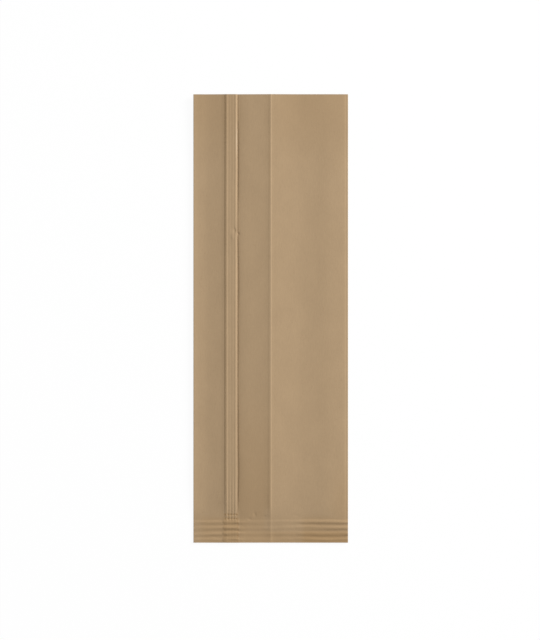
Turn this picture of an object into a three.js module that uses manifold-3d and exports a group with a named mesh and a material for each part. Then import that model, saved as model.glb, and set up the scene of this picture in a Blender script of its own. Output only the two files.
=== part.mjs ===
// A flat-folded kraft paper bag with side gussets, a ribbed back seam, a ribbed bottom seal
// and a clear window in its front.
// Millimetres. The bag lies on its front: X runs across it, Y from the bottom seal to the mouth, Z up.
import * as THREE from 'three';
import { mergeVertices } from 'three/addons/utils/BufferGeometryUtils.js';
import Module from 'manifold-3d';

// Bag, laid flat
const BAG_WIDTH = 120;
const BAG_LENGTH = 348;
const GUSSET_DEPTH = 35.5; // how far each side folds in

// Sheet, and the room between its layers
const PAPER = 0.15;
const PRESSED_GAP = 0.1; // between layers that are pressed together
const SIDE_FOLD_ROOM = 0.5; // more room that each springy side fold keeps where the bag is loose
const GUSSET_ROOM = 0.1; // more room inside each gusset where the bag is loose

// Back panel, heights above its side folds
const RIDGE_X = -0.2; // the crease along the middle of the back
const RIDGE_HEIGHT = 1.1;
const SEAL_RIDGE_HEIGHT = 0.2; // what is left of the crease in the bottom seal
const SHOULDER_HEIGHT = 0.3; // the right half levels off to this over its gusset
const EDGE_SLOPE = 9; // width of the slope from that level down to the right side fold

// Back seam: two edges of the sheet sealed together and laid flat to the right
const SEAM_INSET = 24.6; // from the left side of the bag to the seam's crease
const SEAM_WIDTH = 9.8;
const SEAM_STEP = 1.2; // width of the step up onto the seam
const SEAM_CLIMB = 0.55; // share of the climb to the seam that comes before that step
const LEFT_CLIMB = 0.14; // share of it reached halfway from the left side
const SEAM_ROOM = 0.05; // more room under the seam where the bag is loose
const SEAM_RIBS = 4;
const SEAM_RIB_HEIGHT = 0.1;

// Bottom seal
const SEAL_LENGTH = 18;
const SEAL_RIBS = 4;
const SEAL_RIB_HEIGHT = 0.3;
const SEAL_MIDDLE_SHARE = 0.5; // height of the ribs in the middle, where there are fewer layers
const SQUEEZE_LENGTH = 14; // front and back come together between the gussets over this length
const TAPER_LENGTH = 80; // the loose bag closes towards the seal over this length

// Window in the front panel
const WINDOW_WIDTH = 46;
const WINDOW_FROM_SEAL = 50;
const WINDOW_FROM_MOUTH = 62;
const WINDOW_CORNER = 10;
const FILM = 0.06;
const FILM_MARGIN = 7; // stuck to the paper all round the window

// How finely the curved stretches are divided
const FOLD_STEPS = 4;
const SQUEEZE_STEPS = 3;
const TAPER_STEPS = 4;
const BODY_STEPS = 3;
const SEAL_STEPS = SEAL_RIBS * 6;
const CORNER_STEPS = 6;

const HALF_PAPER = PAPER / 2;
const LAYER = PAPER + PRESSED_GAP;
const BOTTOM_Y = -BAG_LENGTH / 2;
const MOUTH_Y = BAG_LENGTH / 2;
const SEAL_TOP_Y = BOTTOM_Y + SEAL_LENGTH;
const SIDE_X = BAG_WIDTH / 2;
const GUSSET_X = SIDE_X - GUSSET_DEPTH; // inner folds of the gussets, left and right of the middle
const CUT_DEPTH = 1; // how far the window's cutter starts below the bag

const { smoothstep, lerp } = THREE.MathUtils;

// 1 where the bag is loose, falling to 0 where its layers are pressed into the bottom seal.
function looseness(y) {
  return smoothstep(y, SEAL_TOP_Y, SEAL_TOP_Y + TAPER_LENGTH);
}

// 1 in the bottom seal, falling to 0 a little above it.
function squeeze(y) {
  return 1 - smoothstep(y, SEAL_TOP_Y, SEAL_TOP_Y + SQUEEZE_LENGTH);
}

// 1 in the middle of the bag, falling to 0 at the inner folds of the gussets.
function betweenGussets(x) {
  return 1 - smoothstep(Math.abs(x), 0, GUSSET_X);
}

// How far the ribs of the bottom seal lift every layer at a point.
function sealRibLift(x, y) {
  if (y >= SEAL_TOP_Y) {
    return 0;
  }
  const turns = ((SEAL_TOP_Y - y) * SEAL_RIBS) / SEAL_LENGTH;
  const share = lerp(1, SEAL_MIDDLE_SHARE, betweenGussets(x));
  return (share * SEAL_RIB_HEIGHT * (1 - Math.cos(2 * Math.PI * turns))) / 2;
}

// A walk along the folded sheet that lays down its outer face and its inner face together.
// In this section, seen from the bottom of the bag, X runs right and the second axis is Z.
class SheetWalk {
  constructor() {
    this.outer = [];
    this.inner = [];
  }

  // A point of a flat layer. Its outer face looks up where facing is 1, and down where it is -1.
  layer(x, z, facing) {
    this.outer.push(new THREE.Vector2(x, z + facing * HALF_PAPER));
    this.inner.push(new THREE.Vector2(x, z - facing * HALF_PAPER));
  }

  // A half-round fold between two layers at centreX. It bulges to the left or right by side, and its
  // outer face is on the round of the fold, or in the hollow of it where tucked is true.
  fold(centreX, fromZ, toZ, side, tucked) {
    const radius = Math.abs(toZ - fromZ) / 2;
    const centreZ = (fromZ + toZ) / 2;
    const outerRadius = radius + (tucked ? -HALF_PAPER : HALF_PAPER);
    const innerRadius = radius + (tucked ? HALF_PAPER : -HALF_PAPER);
    const start = fromZ > toZ ? 1 : -1;
    for (let i = 0; i <= FOLD_STEPS; i += 1) {
      const turn = (Math.PI * i) / FOLD_STEPS;
      const across = side * Math.sin(turn);
      const up = start * Math.cos(turn);
      this.outer.push(new THREE.Vector2(centreX + across * outerRadius, centreZ + up * outerRadius));
      this.inner.push(new THREE.Vector2(centreX + across * innerRadius, centreZ + up * innerRadius));
    }
  }
}

// The fold at a side of the bag reaches exactly to that side.
function sideFoldCentre(fromZ, toZ) {
  return SIDE_X - Math.abs(toZ - fromZ) / 2 - HALF_PAPER;
}

// The fold deep inside a gusset reaches exactly to its depth.
function gussetFoldCentre(fromZ, toZ) {
  return GUSSET_X + Math.abs(toZ - fromZ) / 2 + HALF_PAPER;
}

// The section of the folded sheet at a place along the bag: its closed outline and the hollow in it.
function foldedSection(y) {
  const loose = looseness(y);
  const pressed = LAYER * squeeze(y);
  const frontZ = HALF_PAPER;
  const lowerZ = frontZ + LAYER + SIDE_FOLD_ROOM * loose;
  const upperZ = lowerZ + LAYER + GUSSET_ROOM * loose;
  const backZ = upperZ + LAYER + SIDE_FOLD_ROOM * loose;
  const seamLowerZ = backZ + LAYER + SEAM_ROOM * loose;
  const seamUpperZ = seamLowerZ + PAPER;

  const creaseX = -SIDE_X + SEAM_INSET;
  const stepTopX = creaseX + SEAM_STEP / 2;
  const stepFootX = creaseX - SEAM_STEP / 2;
  const hairpinX = stepTopX + (seamLowerZ - backZ) / 2 + HALF_PAPER;
  const seamEdgeX = creaseX + SEAM_WIDTH;

  const sideX = sideFoldCentre(upperZ, backZ);
  const lowSideX = sideFoldCentre(frontZ, lowerZ);
  const gussetX = gussetFoldCentre(lowerZ, upperZ);
  const shoulderZ = backZ + SHOULDER_HEIGHT * loose;
  const ridgeZ = backZ + lerp(SEAL_RIDGE_HEIGHT, RIDGE_HEIGHT, loose);

  const walk = new SheetWalk();
  const front = (x) => walk.layer(x, frontZ + pressed * betweenGussets(x), -1);
  const back = (x, z) => walk.layer(x, z - pressed * betweenGussets(x), 1);
  // Left part of the back, from the seam outwards, and down round the left gusset.
  back(stepTopX, seamUpperZ);
  back(stepFootX, lerp(backZ, seamUpperZ, SEAM_CLIMB));
  back((stepFootX - sideX) / 2, lerp(backZ, seamUpperZ, LEFT_CLIMB));
  walk.fold(-sideX, backZ, upperZ, -1, false);
  walk.fold(-gussetX, upperZ, lowerZ, 1, true);
  walk.fold(-lowSideX, lowerZ, frontZ, -1, false);
  // Front panel, and up round the right gusset.
  [-GUSSET_X, -GUSSET_X / 2, 0, GUSSET_X / 2, GUSSET_X].forEach(front);
  walk.fold(lowSideX, frontZ, lowerZ, 1, false);
  walk.fold(gussetX, lowerZ, upperZ, -1, true);
  walk.fold(sideX, upperZ, backZ, 1, false);
  // Right half of the back, the middle crease, and the strip that runs in under the seam.
  back(sideX - EDGE_SLOPE, shoulderZ);
  back(GUSSET_X, shoulderZ);
  back((GUSSET_X + RIDGE_X) / 2, (shoulderZ + ridgeZ) / 2);
  back(RIDGE_X, ridgeZ);
  back((RIDGE_X + seamEdgeX) / 2, (ridgeZ + backZ) / 2);
  back(seamEdgeX, backZ);
  walk.fold(hairpinX, backZ, seamLowerZ, -1, true);

  // The sealed double strip of the seam: along its underside to its edge, and back over its ribs.
  const halfRibs = 2 * SEAM_RIBS;
  const ribPoint = (i, z) => {
    const lift = i % 2 === 1 ? SEAM_RIB_HEIGHT : 0;
    return new THREE.Vector2(lerp(hairpinX, seamEdgeX, i / halfRibs), z + lift);
  };
  const outline = walk.outer;
  for (let i = 1; i <= halfRibs; i += 1) {
    outline.push(ribPoint(i, seamLowerZ - HALF_PAPER));
  }
  for (let i = halfRibs; i >= 0; i -= 1) {
    outline.push(ribPoint(i, seamUpperZ + HALF_PAPER));
  }
  return { outline, hollow: walk.inner };
}

// Places along the bag at which its section is laid down, from the bottom edge to the mouth.
function stations() {
  const squeezeTopY = SEAL_TOP_Y + SQUEEZE_LENGTH;
  const taperTopY = SEAL_TOP_Y + TAPER_LENGTH;
  const ys = [];
  const stretch = (fromY, toY, steps) => {
    for (let i = 0; i < steps; i += 1) {
      ys.push(lerp(fromY, toY, i / steps));
    }
  };
  stretch(BOTTOM_Y, SEAL_TOP_Y, SEAL_STEPS);
  stretch(SEAL_TOP_Y, squeezeTopY, SQUEEZE_STEPS);
  stretch(squeezeTopY, taperTopY, TAPER_STEPS);
  stretch(taperTopY, MOUTH_Y, BODY_STEPS);
  ys.push(MOUTH_Y);
  return ys;
}

// The folded sheet: its outer skin from edge to edge, and its hollow from the seal to the mouth.
function foldedSheetGeometry() {
  const ys = stations();
  const sections = ys.map(foldedSection);
  const positions = [];
  const triangles = [];

  const layDown = (points, y) => {
    const first = positions.length / 3;
    points.forEach((p) => positions.push(p.x, y, p.y + sealRibLift(p.x, y)));
    return first;
  };
  const skin = (firsts, count, inward) => {
    for (let s = 0; s + 1 < firsts.length; s += 1) {
      for (let i = 0; i < count; i += 1) {
        const next = (i + 1) % count;
        const a = firsts[s] + i;
        const b = firsts[s] + next;
        const c = firsts[s + 1] + next;
        const d = firsts[s + 1] + i;
        if (inward) {
          triangles.push(a, c, d, a, b, c);
        } else {
          triangles.push(a, d, c, a, c, b);
        }
      }
    }
  };
  const cap = (outline, holes, indices, towardsMouth) => {
    THREE.ShapeUtils.triangulateShape(outline, holes).forEach(([a, b, c]) => {
      const [p, q] = towardsMouth ? [c, b] : [b, c];
      triangles.push(indices[a], indices[p], indices[q]);
    });
  };
  const run = (first, count) => Array.from({ length: count }, (_, i) => first + i);

  const outerFirsts = ys.map((y, s) => layDown(sections[s].outline, y));
  const hollowFirsts = ys.slice(SEAL_STEPS).map((y, s) => layDown(sections[SEAL_STEPS + s].hollow, y));
  const outerCount = sections[0].outline.length;
  const hollowCount = sections[0].hollow.length;
  skin(outerFirsts, outerCount, false);
  skin(hollowFirsts, hollowCount, true);

  const mouth = sections[sections.length - 1];
  const mouthOuter = run(outerFirsts.at(-1), outerCount);
  const mouthHollow = run(hollowFirsts.at(-1), hollowCount);
  cap(sections[0].outline, [], run(outerFirsts[0], outerCount), false);
  cap(sections[SEAL_STEPS].hollow, [], run(hollowFirsts[0], hollowCount), true);
  cap(mouth.outline, [mouth.hollow], [...mouthOuter, ...mouthHollow], true);

  const geometry = new THREE.BufferGeometry();
  geometry.setAttribute('position', new THREE.Float32BufferAttribute(positions, 3));
  geometry.setIndex(triangles);
  return geometry;
}

// A plate with round corners, centred on the window, that reaches past the window's edge by margin.
function windowPlate(margin, bottomZ, topZ) {
  const lowY = SEAL_TOP_Y + WINDOW_FROM_SEAL - margin;
  const highY = MOUTH_Y - WINDOW_FROM_MOUTH + margin;
  const halfWidth = WINDOW_WIDTH / 2 + margin;
  const corner = WINDOW_CORNER + margin;
  const shape = new THREE.Shape();
  shape.absarc(halfWidth - corner, lowY + corner, corner, -Math.PI / 2, 0);
  shape.absarc(halfWidth - corner, highY - corner, corner, 0, Math.PI / 2);
  shape.absarc(corner - halfWidth, highY - corner, corner, Math.PI / 2, Math.PI);
  shape.absarc(corner - halfWidth, lowY + corner, corner, Math.PI, (3 * Math.PI) / 2);
  const options = { depth: topZ - bottomZ, bevelEnabled: false, curveSegments: CORNER_STEPS };
  return new THREE.ExtrudeGeometry(shape, options).translate(0, 0, bottomZ);
}

const wasm = await Module();
wasm.setup();

function toSolid(geometry) {
  const bare = geometry.clone();
  bare.deleteAttribute('normal');
  bare.deleteAttribute('uv');
  const merged = mergeVertices(bare);
  const mesh = new wasm.Mesh({
    numProp: 3,
    vertProperties: new Float32Array(merged.attributes.position.array),
    triVerts: new Uint32Array(merged.index.array),
  });
  return new wasm.Manifold(mesh);
}

function toGeometry(solid) {
  const mesh = solid.getMesh();
  const geometry = new THREE.BufferGeometry();
  geometry.setAttribute('position', new THREE.BufferAttribute(mesh.vertProperties, 3));
  geometry.setIndex(new THREE.BufferAttribute(mesh.triVerts, 1));
  geometry.computeVertexNormals();
  return geometry;
}

function kraftBody() {
  const cutTop = PAPER + (PRESSED_GAP + SIDE_FOLD_ROOM) / 2;
  const cutter = toSolid(windowPlate(0, -CUT_DEPTH, cutTop));
  const sheet = toSolid(foldedSheetGeometry()).subtract(cutter);
  const kraft = new THREE.MeshStandardMaterial({ color: 0xac9375, roughness: 0.8, metalness: 0 });
  const mesh = new THREE.Mesh(toGeometry(sheet), kraft);
  mesh.name = 'kraft_body';
  return mesh;
}

function windowFilm() {
  const clear = new THREE.MeshStandardMaterial({
    color: 0xeef2f2,
    roughness: 0.1,
    metalness: 0,
    transparent: true,
    opacity: 0.25,
  });
  const mesh = new THREE.Mesh(windowPlate(FILM_MARGIN, 0, FILM), clear);
  mesh.position.z = PAPER;
  mesh.name = 'window_film';
  return mesh;
}

const bag = new THREE.Group();
bag.name = 'kraft_window_bag';
bag.add(kraftBody(), windowFilm());

export default bag;
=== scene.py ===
"""A flat-folded kraft paper bag with side gussets, a ribbed back seam and bottom seal, and a film window."""
import math

import bmesh
import bpy
import numpy as np
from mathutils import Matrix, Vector, noise


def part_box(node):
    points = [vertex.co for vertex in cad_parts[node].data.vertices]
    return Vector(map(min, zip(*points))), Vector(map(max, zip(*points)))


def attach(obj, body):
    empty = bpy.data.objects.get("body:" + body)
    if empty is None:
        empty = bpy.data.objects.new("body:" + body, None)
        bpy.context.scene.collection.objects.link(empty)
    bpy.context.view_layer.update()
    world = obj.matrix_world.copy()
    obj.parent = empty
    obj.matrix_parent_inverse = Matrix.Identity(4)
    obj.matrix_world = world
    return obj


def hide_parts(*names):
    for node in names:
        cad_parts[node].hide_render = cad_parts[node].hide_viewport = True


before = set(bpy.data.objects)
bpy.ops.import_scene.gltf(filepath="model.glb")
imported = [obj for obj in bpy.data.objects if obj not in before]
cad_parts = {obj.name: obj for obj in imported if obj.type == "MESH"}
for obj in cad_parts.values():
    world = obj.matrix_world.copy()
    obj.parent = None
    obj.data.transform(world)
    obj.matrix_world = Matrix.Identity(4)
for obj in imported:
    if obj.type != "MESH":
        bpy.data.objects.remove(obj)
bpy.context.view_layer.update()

# Lengths are millimetres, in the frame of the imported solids, until a mesh, lamp or camera is made.
MM = 0.001

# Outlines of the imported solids
BAG_LOW, BAG_HIGH = (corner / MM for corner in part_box("kraft_body"))
FILM_LOW, FILM_HIGH = (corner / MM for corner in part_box("window_film"))
SIDE_X = BAG_HIGH.x
BOTTOM_Y = BAG_LOW.y
MOUTH_Y = BAG_HIGH.y

# Sheet, and the room between its layers
PAPER = 0.15
HALF_PAPER = PAPER / 2
LAYER = 0.25  # from one layer to the next where they are pressed together
PANEL_ROOM = 0.5  # more room between the gussets and the front and back where the bag is loose
GUSSET_ROOM = 0.1  # more room inside each gusset where the bag is loose
GUSSET_X = 24.5  # inner folds of the gussets, left and right of the middle
FOLD_STEPS = 8
SIDE_FOLD = 0.36  # height of a creased side fold, between the middles of its two layers
SIDE_FOLD_BULGE = 0.15
SIDE_FOLD_REACH = 12  # the folds draw the gussets' layers to the front and back over this length
MOUTH_ROOM = 0.8  # the layers spring apart by this much at the mouth
MOUTH_LENGTH = 55

# Bottom seal
SEAL_LENGTH = 18
SEAL_TOP_Y = BOTTOM_Y + SEAL_LENGTH
SEAL_RIBS = 4
SEAL_RIB_HEIGHT = 0.32
SEAL_MIDDLE_SHARE = 0.42  # height of the ribs in the middle, where there are fewer layers
SEAL_MIDDLE_REACH = 0.75  # up to this share of the way to the gussets' folds
SEAL_SEAM_SHARE = 1.85  # and on the seam, where there are more
SEAL_SEAM_BEND = 0.4  # the ribs bend towards the mouth by this much where they cross the seam
SEAL_RIB_WANDER = 1.6  # how far a rib strays from its straight line
SEAL_WANDER_GRAIN = (38, 0)  # and how many times a metre, across and along the bag
SEAL_ARCH = 0.75  # the first rib arches this far towards the mouth in the right half, the last one hardly
SEAL_ARCH_TOP = (0.6, 0.7)  # most of all between these shares of the way to the right side
SEAL_DROOP = 0.25  # and all of them droop this far at the left side
SEAL_DROOP_REACH = (0.5, 0.75)  # from the first of these shares of the way to it, in full from the second
SEAL_LAST_RIB = 0.67  # share of the last rib that is left at the bottom edge
SEAL_PRESS_RANGE = 1.5  # how much harder the jaws pressed in some places than in others
SEAL_PRESS_GRAIN = (55, 250)  # how many times a metre
SEAL_PRESS_LEAN = 0.33  # and how much harder at the right side than in the middle
# Where the jaws left the ribs flatter: places across and along, shares, and reach across and along
SEAL_SOFT = (
    (26, -162.9, 0.75, 10, 1.9),
    (-3, -158.9, 0.75, 13, 1.9),
    (-56, -163, 0.6, 7, 2.5),
    (-24, -156.5, 0.5, 8, 1.4),
    (-35, -162.8, 0.5, 2.5, 1.6),
    (-24, -169.7, 0.6, 9, 1.6),
    (54, -167.3, 0.7, 6, 1.4),
    (22, -171.7, 0.6, 5, 1.6),
)
SQUEEZE_LENGTH = 14  # front and back come together between the gussets over this length
TAPER_LENGTH = 50  # the loose bag closes towards the seal over this length
SEAM_DIP = (-160, -138)  # where the seam and the left panel dip into the seal
PANEL_DIP = (-171, -148)  # where the panel right of the seam dips into it

# Back seam: two edges of the sheet sealed together and laid flat to the right
SEAM_FOOT_X = -36.3
SEAM_CREASE_X = -34.8
SEAM_EDGE_X = -25.98
SEAM_RIBS = 4
SEAM_RIB_HEIGHT = 0.062
SEAM_RIB_GROWTH = 0.8  # they stand this much higher near the bottom seal
SEAM_GROWTH_REACH = (20, 42)  # up to here above it, and no more from here on
SEAM_RIB_SEALED = 0.2  # share of them that is left where the seal's jaws flattened them
SEAM_RIB_FADE = 1.6  # and the length over which they fade there
SEAM_RIB_PHASE = 0.17  # share of a rib that is cut off at the crease
SEAM_SEALED_HEIGHT = 0.28
SEAM_LEAN = 0.25  # it strays this far to the right at the mouth
SEAM_CURL = 0.13  # the free edge curls down more towards the mouth and less towards the seal
SEAM_EDGE_WANDER = 0.16  # how far the free edge strays
SEAM_WANDER_LENGTH = 31
SEAM_PLY_LINE = 0.06  # depth of the line between the two plies in that edge
SEAM_EDGE_ROUND = (0.05, 0.16)  # where the rounding of its upper corner starts and ends
SEAM_GROOVE = 0.25  # depth of the dip beside the free edge
# Where that edge was pressed down: places along, reach along, and share of the dip that is gone
EDGE_PRESSED = ((165, 17, 0.68), (76, 17, 0.55), (-2, 12, 0.3), (-48, 22, 0.38))
# Where the dip is wider: places along, reach along, and by how much
GROOVE_WIDE = ((26, 17, 0.4), (-117, 13, 0.45))
GROOVE_EDGE_SHARE = 0.35  # the free edge gives way by this share of it
SEAM_KINK_Y = 67  # a small kink by the free edge, with the edge pressed flat around it
SEAM_FLATTENED = 0.15
SEAM_HIGHLIGHT_Y = 138  # the free edge's painted highlight is brightest here
CROSS_MARKS = 2  # dents that the sealing jaws left across the seam
CROSS_MARKS_Y = -152.2  # the upper one
CROSS_MARK_PITCH = 3.2
CROSS_MARK_DEPTH = 0.18
CROSS_MARK_WIDTH = 0.9
CROSS_MARK_FADE = 0.12  # share of the seam's width over which they fade at its crease and at its edge
# how dark the cross marks are: scorch, and painted shade in their dents
CROSS_MARK_SCORCH_AND_SHADE = 3

# Back of the loose bag: places across it, and heights over the tops of its side folds
LEFT_SHAPE = (
    (-59.8, 0.15), (-58.5, 0.085), (-57.2, 0.0), (-54.1, -0.1), (-51.8, -0.145), (-49.4, -0.13),
    (-46.3, -0.02), (-43.2, 0.13), (-40.1, 0.315), (-37.7, 0.495), (SEAM_FOOT_X, 0.67),
)
SEAM_SHAPE = (
    (SEAM_CREASE_X, 1.02), (-34.2, 1.03), (-33.3, 1.0), (-32.4, 0.985), (-31.6, 0.985), (-30.8, 1.035),
    (-30, 1.035), (-27.8, 1.12), (-27.0, 1.105), (-26.5, 1.04), (-25.8, 0.925),
)
RIGHT_SHAPE = (
    (-34, -0.05), (-30, -0.15), (-26.4, -0.31), (-25.6, -0.275), (-24.8, -0.075), (-23.9, 0.03),
    (-22.3, 0.155), (-19.2, 0.325), (-11.4, 0.64), (-5.2, 0.93), (-2.5, 1.06), (-0.5, 1.15), (1.0, 1.17),
    (2.6, 1.102), (14.3, 0.546), (19, 0.39), (22, 0.31), (25.2, 0.28), (29.8, 0.3), (36, 0.4), (40.7, 0.52),
    (43.8, 0.575), (48.5, 0.575), (53.2, 0.52), (56.3, 0.456), (57.6, 0.4), (58.5, 0.275), (59.8, 0.27),
)
# The same where the layers are pressed into the bottom seal
LEFT_SEALED = ((-59.8, 0.0), (-46, 0.01), (-39, 0.08), (SEAM_FOOT_X, 0.16))
RIGHT_SEALED = (
    (-34, -0.09), (-26.6, -0.09), (-26, -0.08), (-25.5, -0.02), (-25, 0.03), (-24, 0.04), (-14, 0.03),
    (-2, 0.08), (-0.2, 0.12), (2.4, 0.05), (14, 0.01), (59.8, 0.0),
)

# Middle crease: how far it stands proud of the panel
CREASE_SHAPE = (
    (-5.2, 0.0), (-3, 0.049), (-2.1, 0.077), (-1.3, 0.141), (-0.6, 0.18), (-0.1, 0.2), (0.3, 0.164),
    (1.0, 0.03), (1.4, 0.02), (2.6, 0.0),
)
CREASE_X = -0.1
CREASE_LEAN = 0.4  # its left flank lies this far to the right at the mouth, and to the left at the bottom
CREASE_SHADED_Y = 118  # its left flank has painted shade along here
CREASE_GROWTH = 0.4  # it stands this much prouder where the panels taper towards the seal
CREASE_FADE = (-157, -140)  # and fades here to this share in the seal
CREASE_SEALED = 0.5
# Soft unevenness of the panels: heights, lengths across and along, and where in the noise
PANEL_WAVES = ((0.09, 22, 60, 3.1), (0.012, 7, 16, 7.7))
# Small dents: places across and along, depths, and reach across and along
PANEL_DENTS = (
    (-12.3, -152.1, 0.22, 0.8, 1.6), (-16.5, -155.4, 0.14, 1.3, 0.9), (-4.5, -153.8, 0.07, 1.6, 1.1),
    (20.5, -153.0, 0.12, 1.6, 1.1), (-25.1, 65.8, 0.25, 0.8, 1.0),
)
SEAM_DENTS = ((-27.9, 68.4, 0.22, 0.8, 1.9), (-29, 68.4, 0.12, 1.6, 2.0), (-29.6, 63.8, -0.1, 1.1, 1.8))

# How finely the sheet is divided: where each stretch of it starts, and by what steps
LEFT_STEPS = ((SEAM_FOOT_X, 0.6), (-42, 1.2), (-56, 0.4))
RIGHT_STEPS = ((54, 1.5), (3, 0.2), (-3, 0.9), (-20, 0.3))
SIDE_STEP = 0.4
UNDER_SEAM_X = SEAM_EDGE_X - 0.6  # the panel is hidden from here on
UNDER_SEAM_STEP = 1.5
HAIRPIN_LEVEL_X = -33  # the fold under the seam takes its heights from here
CLIMB_STEP = 0.12  # from the left panel up to the seam's crease
SEAM_TOP_STEP = 0.26
SEAM_UNDER_STEP = 0.9
GUSSET_STEPS = (3, 10)  # by the side folds and further in
LOOSE_STEP = 3.2
SEAL_STEPS = (
    (BOTTOM_Y, 0.45), (SEAL_TOP_Y, 0.5), (SEAL_TOP_Y + 6, 1.6), (SEAL_TOP_Y + SQUEEZE_LENGTH, LOOSE_STEP),
)
KINK_REACH = 6  # finer steps this far below and above the kink
KINK_STEP = 0.6
WINDOW_STEP = 3
WINDOW_COLUMNS = 12
WINDOW_CORNER_ROWS = 7
MARGIN_COLUMNS = 6
FILM_COLUMNS = 24
FILM_CORNER_ROWS = 8
SHARP_DEGREES = 38  # edges sharper than this are not smoothed

# Window in the front, and its film
FILM_MARGIN = 7  # stuck to the paper all round the window
FILM_CORNER = 17
FILM_SWELL = 0.16  # how far the film stands off over the opening
FILM_SWELL_REACH = 14
WINDOW_LOW_Y = FILM_LOW.y + FILM_MARGIN
WINDOW_HIGH_Y = FILM_HIGH.y - FILM_MARGIN
WINDOW_HALF = FILM_HIGH.x - FILM_MARGIN
WINDOW_CORNER = FILM_CORNER - FILM_MARGIN

# View and light
IMAGE_WIDTH = 540
IMAGE_HEIGHT = 640
BAG_PIXELS = 448.66  # the bag's length in the photograph
BAG_MIDDLE_PX = (270.72, 318.59)
CAMERA_DISTANCE = 1900
SENSOR = 36
FLOOR_HALF = 6000
FLOOR_DROP = 0.02  # keeps the floor clear of the front panel
FLOOR_WHITE_SHARE = 0.93  # the rest of the floor's look is its own shading, with the shadow
DOME_SHARE = 0.42  # of the light on a level surface
KEY_SHARE = 0.58
KEY_AZIMUTH = 30
KEY_ELEVATION = 20
KEY_DISTANCE = 4000
KEY_SIZE = 1300


def lerp(a, b, share):
    return a + (b - a) * share


def smoothstep(value, low, high):
    t = min(max((value - low) / (high - low), 0.0), 1.0)
    return t * t * (3 - 2 * t)


def bell(distance, width):
    return math.exp(-((distance / width) ** 2))


def smooth_outline(points):
    """A height for any place across, on a smooth curve through the points."""
    xs, zs = (np.array(column, float) for column in zip(*points))
    slopes = np.gradient(zs, xs)

    def height(x):
        x = min(max(x, xs[0]), xs[-1])
        i = min(max(int(np.searchsorted(xs, x)) - 1, 0), len(xs) - 2)
        span = xs[i + 1] - xs[i]
        t = (x - xs[i]) / span
        start = (1 + 2 * t) * (1 - t) ** 2 * zs[i] + t * (1 - t) ** 2 * span * slopes[i]
        end = t * t * (3 - 2 * t) * zs[i + 1] - t * t * (1 - t) * span * slopes[i + 1]
        return start + end

    return height


left_shape = smooth_outline(LEFT_SHAPE)
left_sealed = smooth_outline(LEFT_SEALED)
seam_shape = smooth_outline(SEAM_SHAPE)
right_shape = smooth_outline(RIGHT_SHAPE)
right_sealed = smooth_outline(RIGHT_SEALED)
crease_shape = smooth_outline(CREASE_SHAPE)


def spread(start, end, step):
    """Places from start up to, but not at, the end, about a step apart."""
    count = max(1, round(abs(end - start) / step))
    return [lerp(start, end, i / count) for i in range(count)]


def divided(stretches, end):
    """Places over several stretches, up to, but not at, the end."""
    stops = [start for start, _ in stretches[1:]] + [end]
    return [place for (start, step), stop in zip(stretches, stops) for place in spread(start, stop, step)]


# Shape of the folded sheet

def looseness(y):
    """1 where the bag is loose, falling to 0 where its layers are pressed into the bottom seal."""
    short = min(max(1 - (y - SEAL_TOP_Y) / TAPER_LENGTH, 0.0), 1.0)
    return 1 - short * short


def squeeze(y):
    """1 in the bottom seal, falling to 0 a little above it."""
    return 1 - smoothstep(y, SEAL_TOP_Y, SEAL_TOP_Y + SQUEEZE_LENGTH)


def between_gussets(x):
    """1 in the middle of the bag, falling to 0 at the inner folds of the gussets."""
    return 1 - smoothstep(abs(x), 0, GUSSET_X)


def by_side_fold(x):
    """1 at the side folds, falling to 0 further in."""
    return smoothstep(abs(x), SIDE_X - SIDE_FOLD_REACH, SIDE_X)


def ripple(x, y):
    """The soft unevenness of a paper panel that has been handled. The side folds hold it flat."""
    rise = 0
    for height, across, along, place in PANEL_WAVES:
        rise += height * noise.noise(Vector((x / across, y / along, place)))
    return rise * smoothstep(SIDE_X - abs(x), 0.5, 8)


def at_places(y, places):
    """The sum of what each place along the bag adds: its share there, fading over its reach."""
    return sum(share * bell(y - place, reach) for place, reach, share in places)


def seam_edge(y):
    """Where the free edge of the seam runs: nearly straight."""
    wander = SEAM_EDGE_WANDER * noise.noise(Vector((0.0, y / SEAM_WANDER_LENGTH, 1.7)))
    return SEAM_EDGE_X + wander + GROOVE_EDGE_SHARE * at_places(y, GROOVE_WIDE)


def under_seam(x):
    """1 under the seam, falling to 0 on the panel beside its free edge."""
    return 1 - smoothstep(x, SEAM_EDGE_X - 0.4, SEAM_EDGE_X + 1.6)


def beside_seam(x):
    """1 at the free edge of the seam and just under it, falling to 0 on the panel beside it."""
    under = smoothstep(x, SEAM_EDGE_X - 5, SEAM_EDGE_X - 2)
    return under * (1 - smoothstep(x, SEAM_EDGE_X + 0.2, SEAM_EDGE_X + 1.8))


def dented(x, y, dents):
    """What small dents, or other small places, add up to at one place."""
    depth = 0
    for at_x, at_y, deepest, across, along in dents:
        depth += deepest * bell(x - at_x, across) * bell(y - at_y, along)
    return depth


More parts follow.
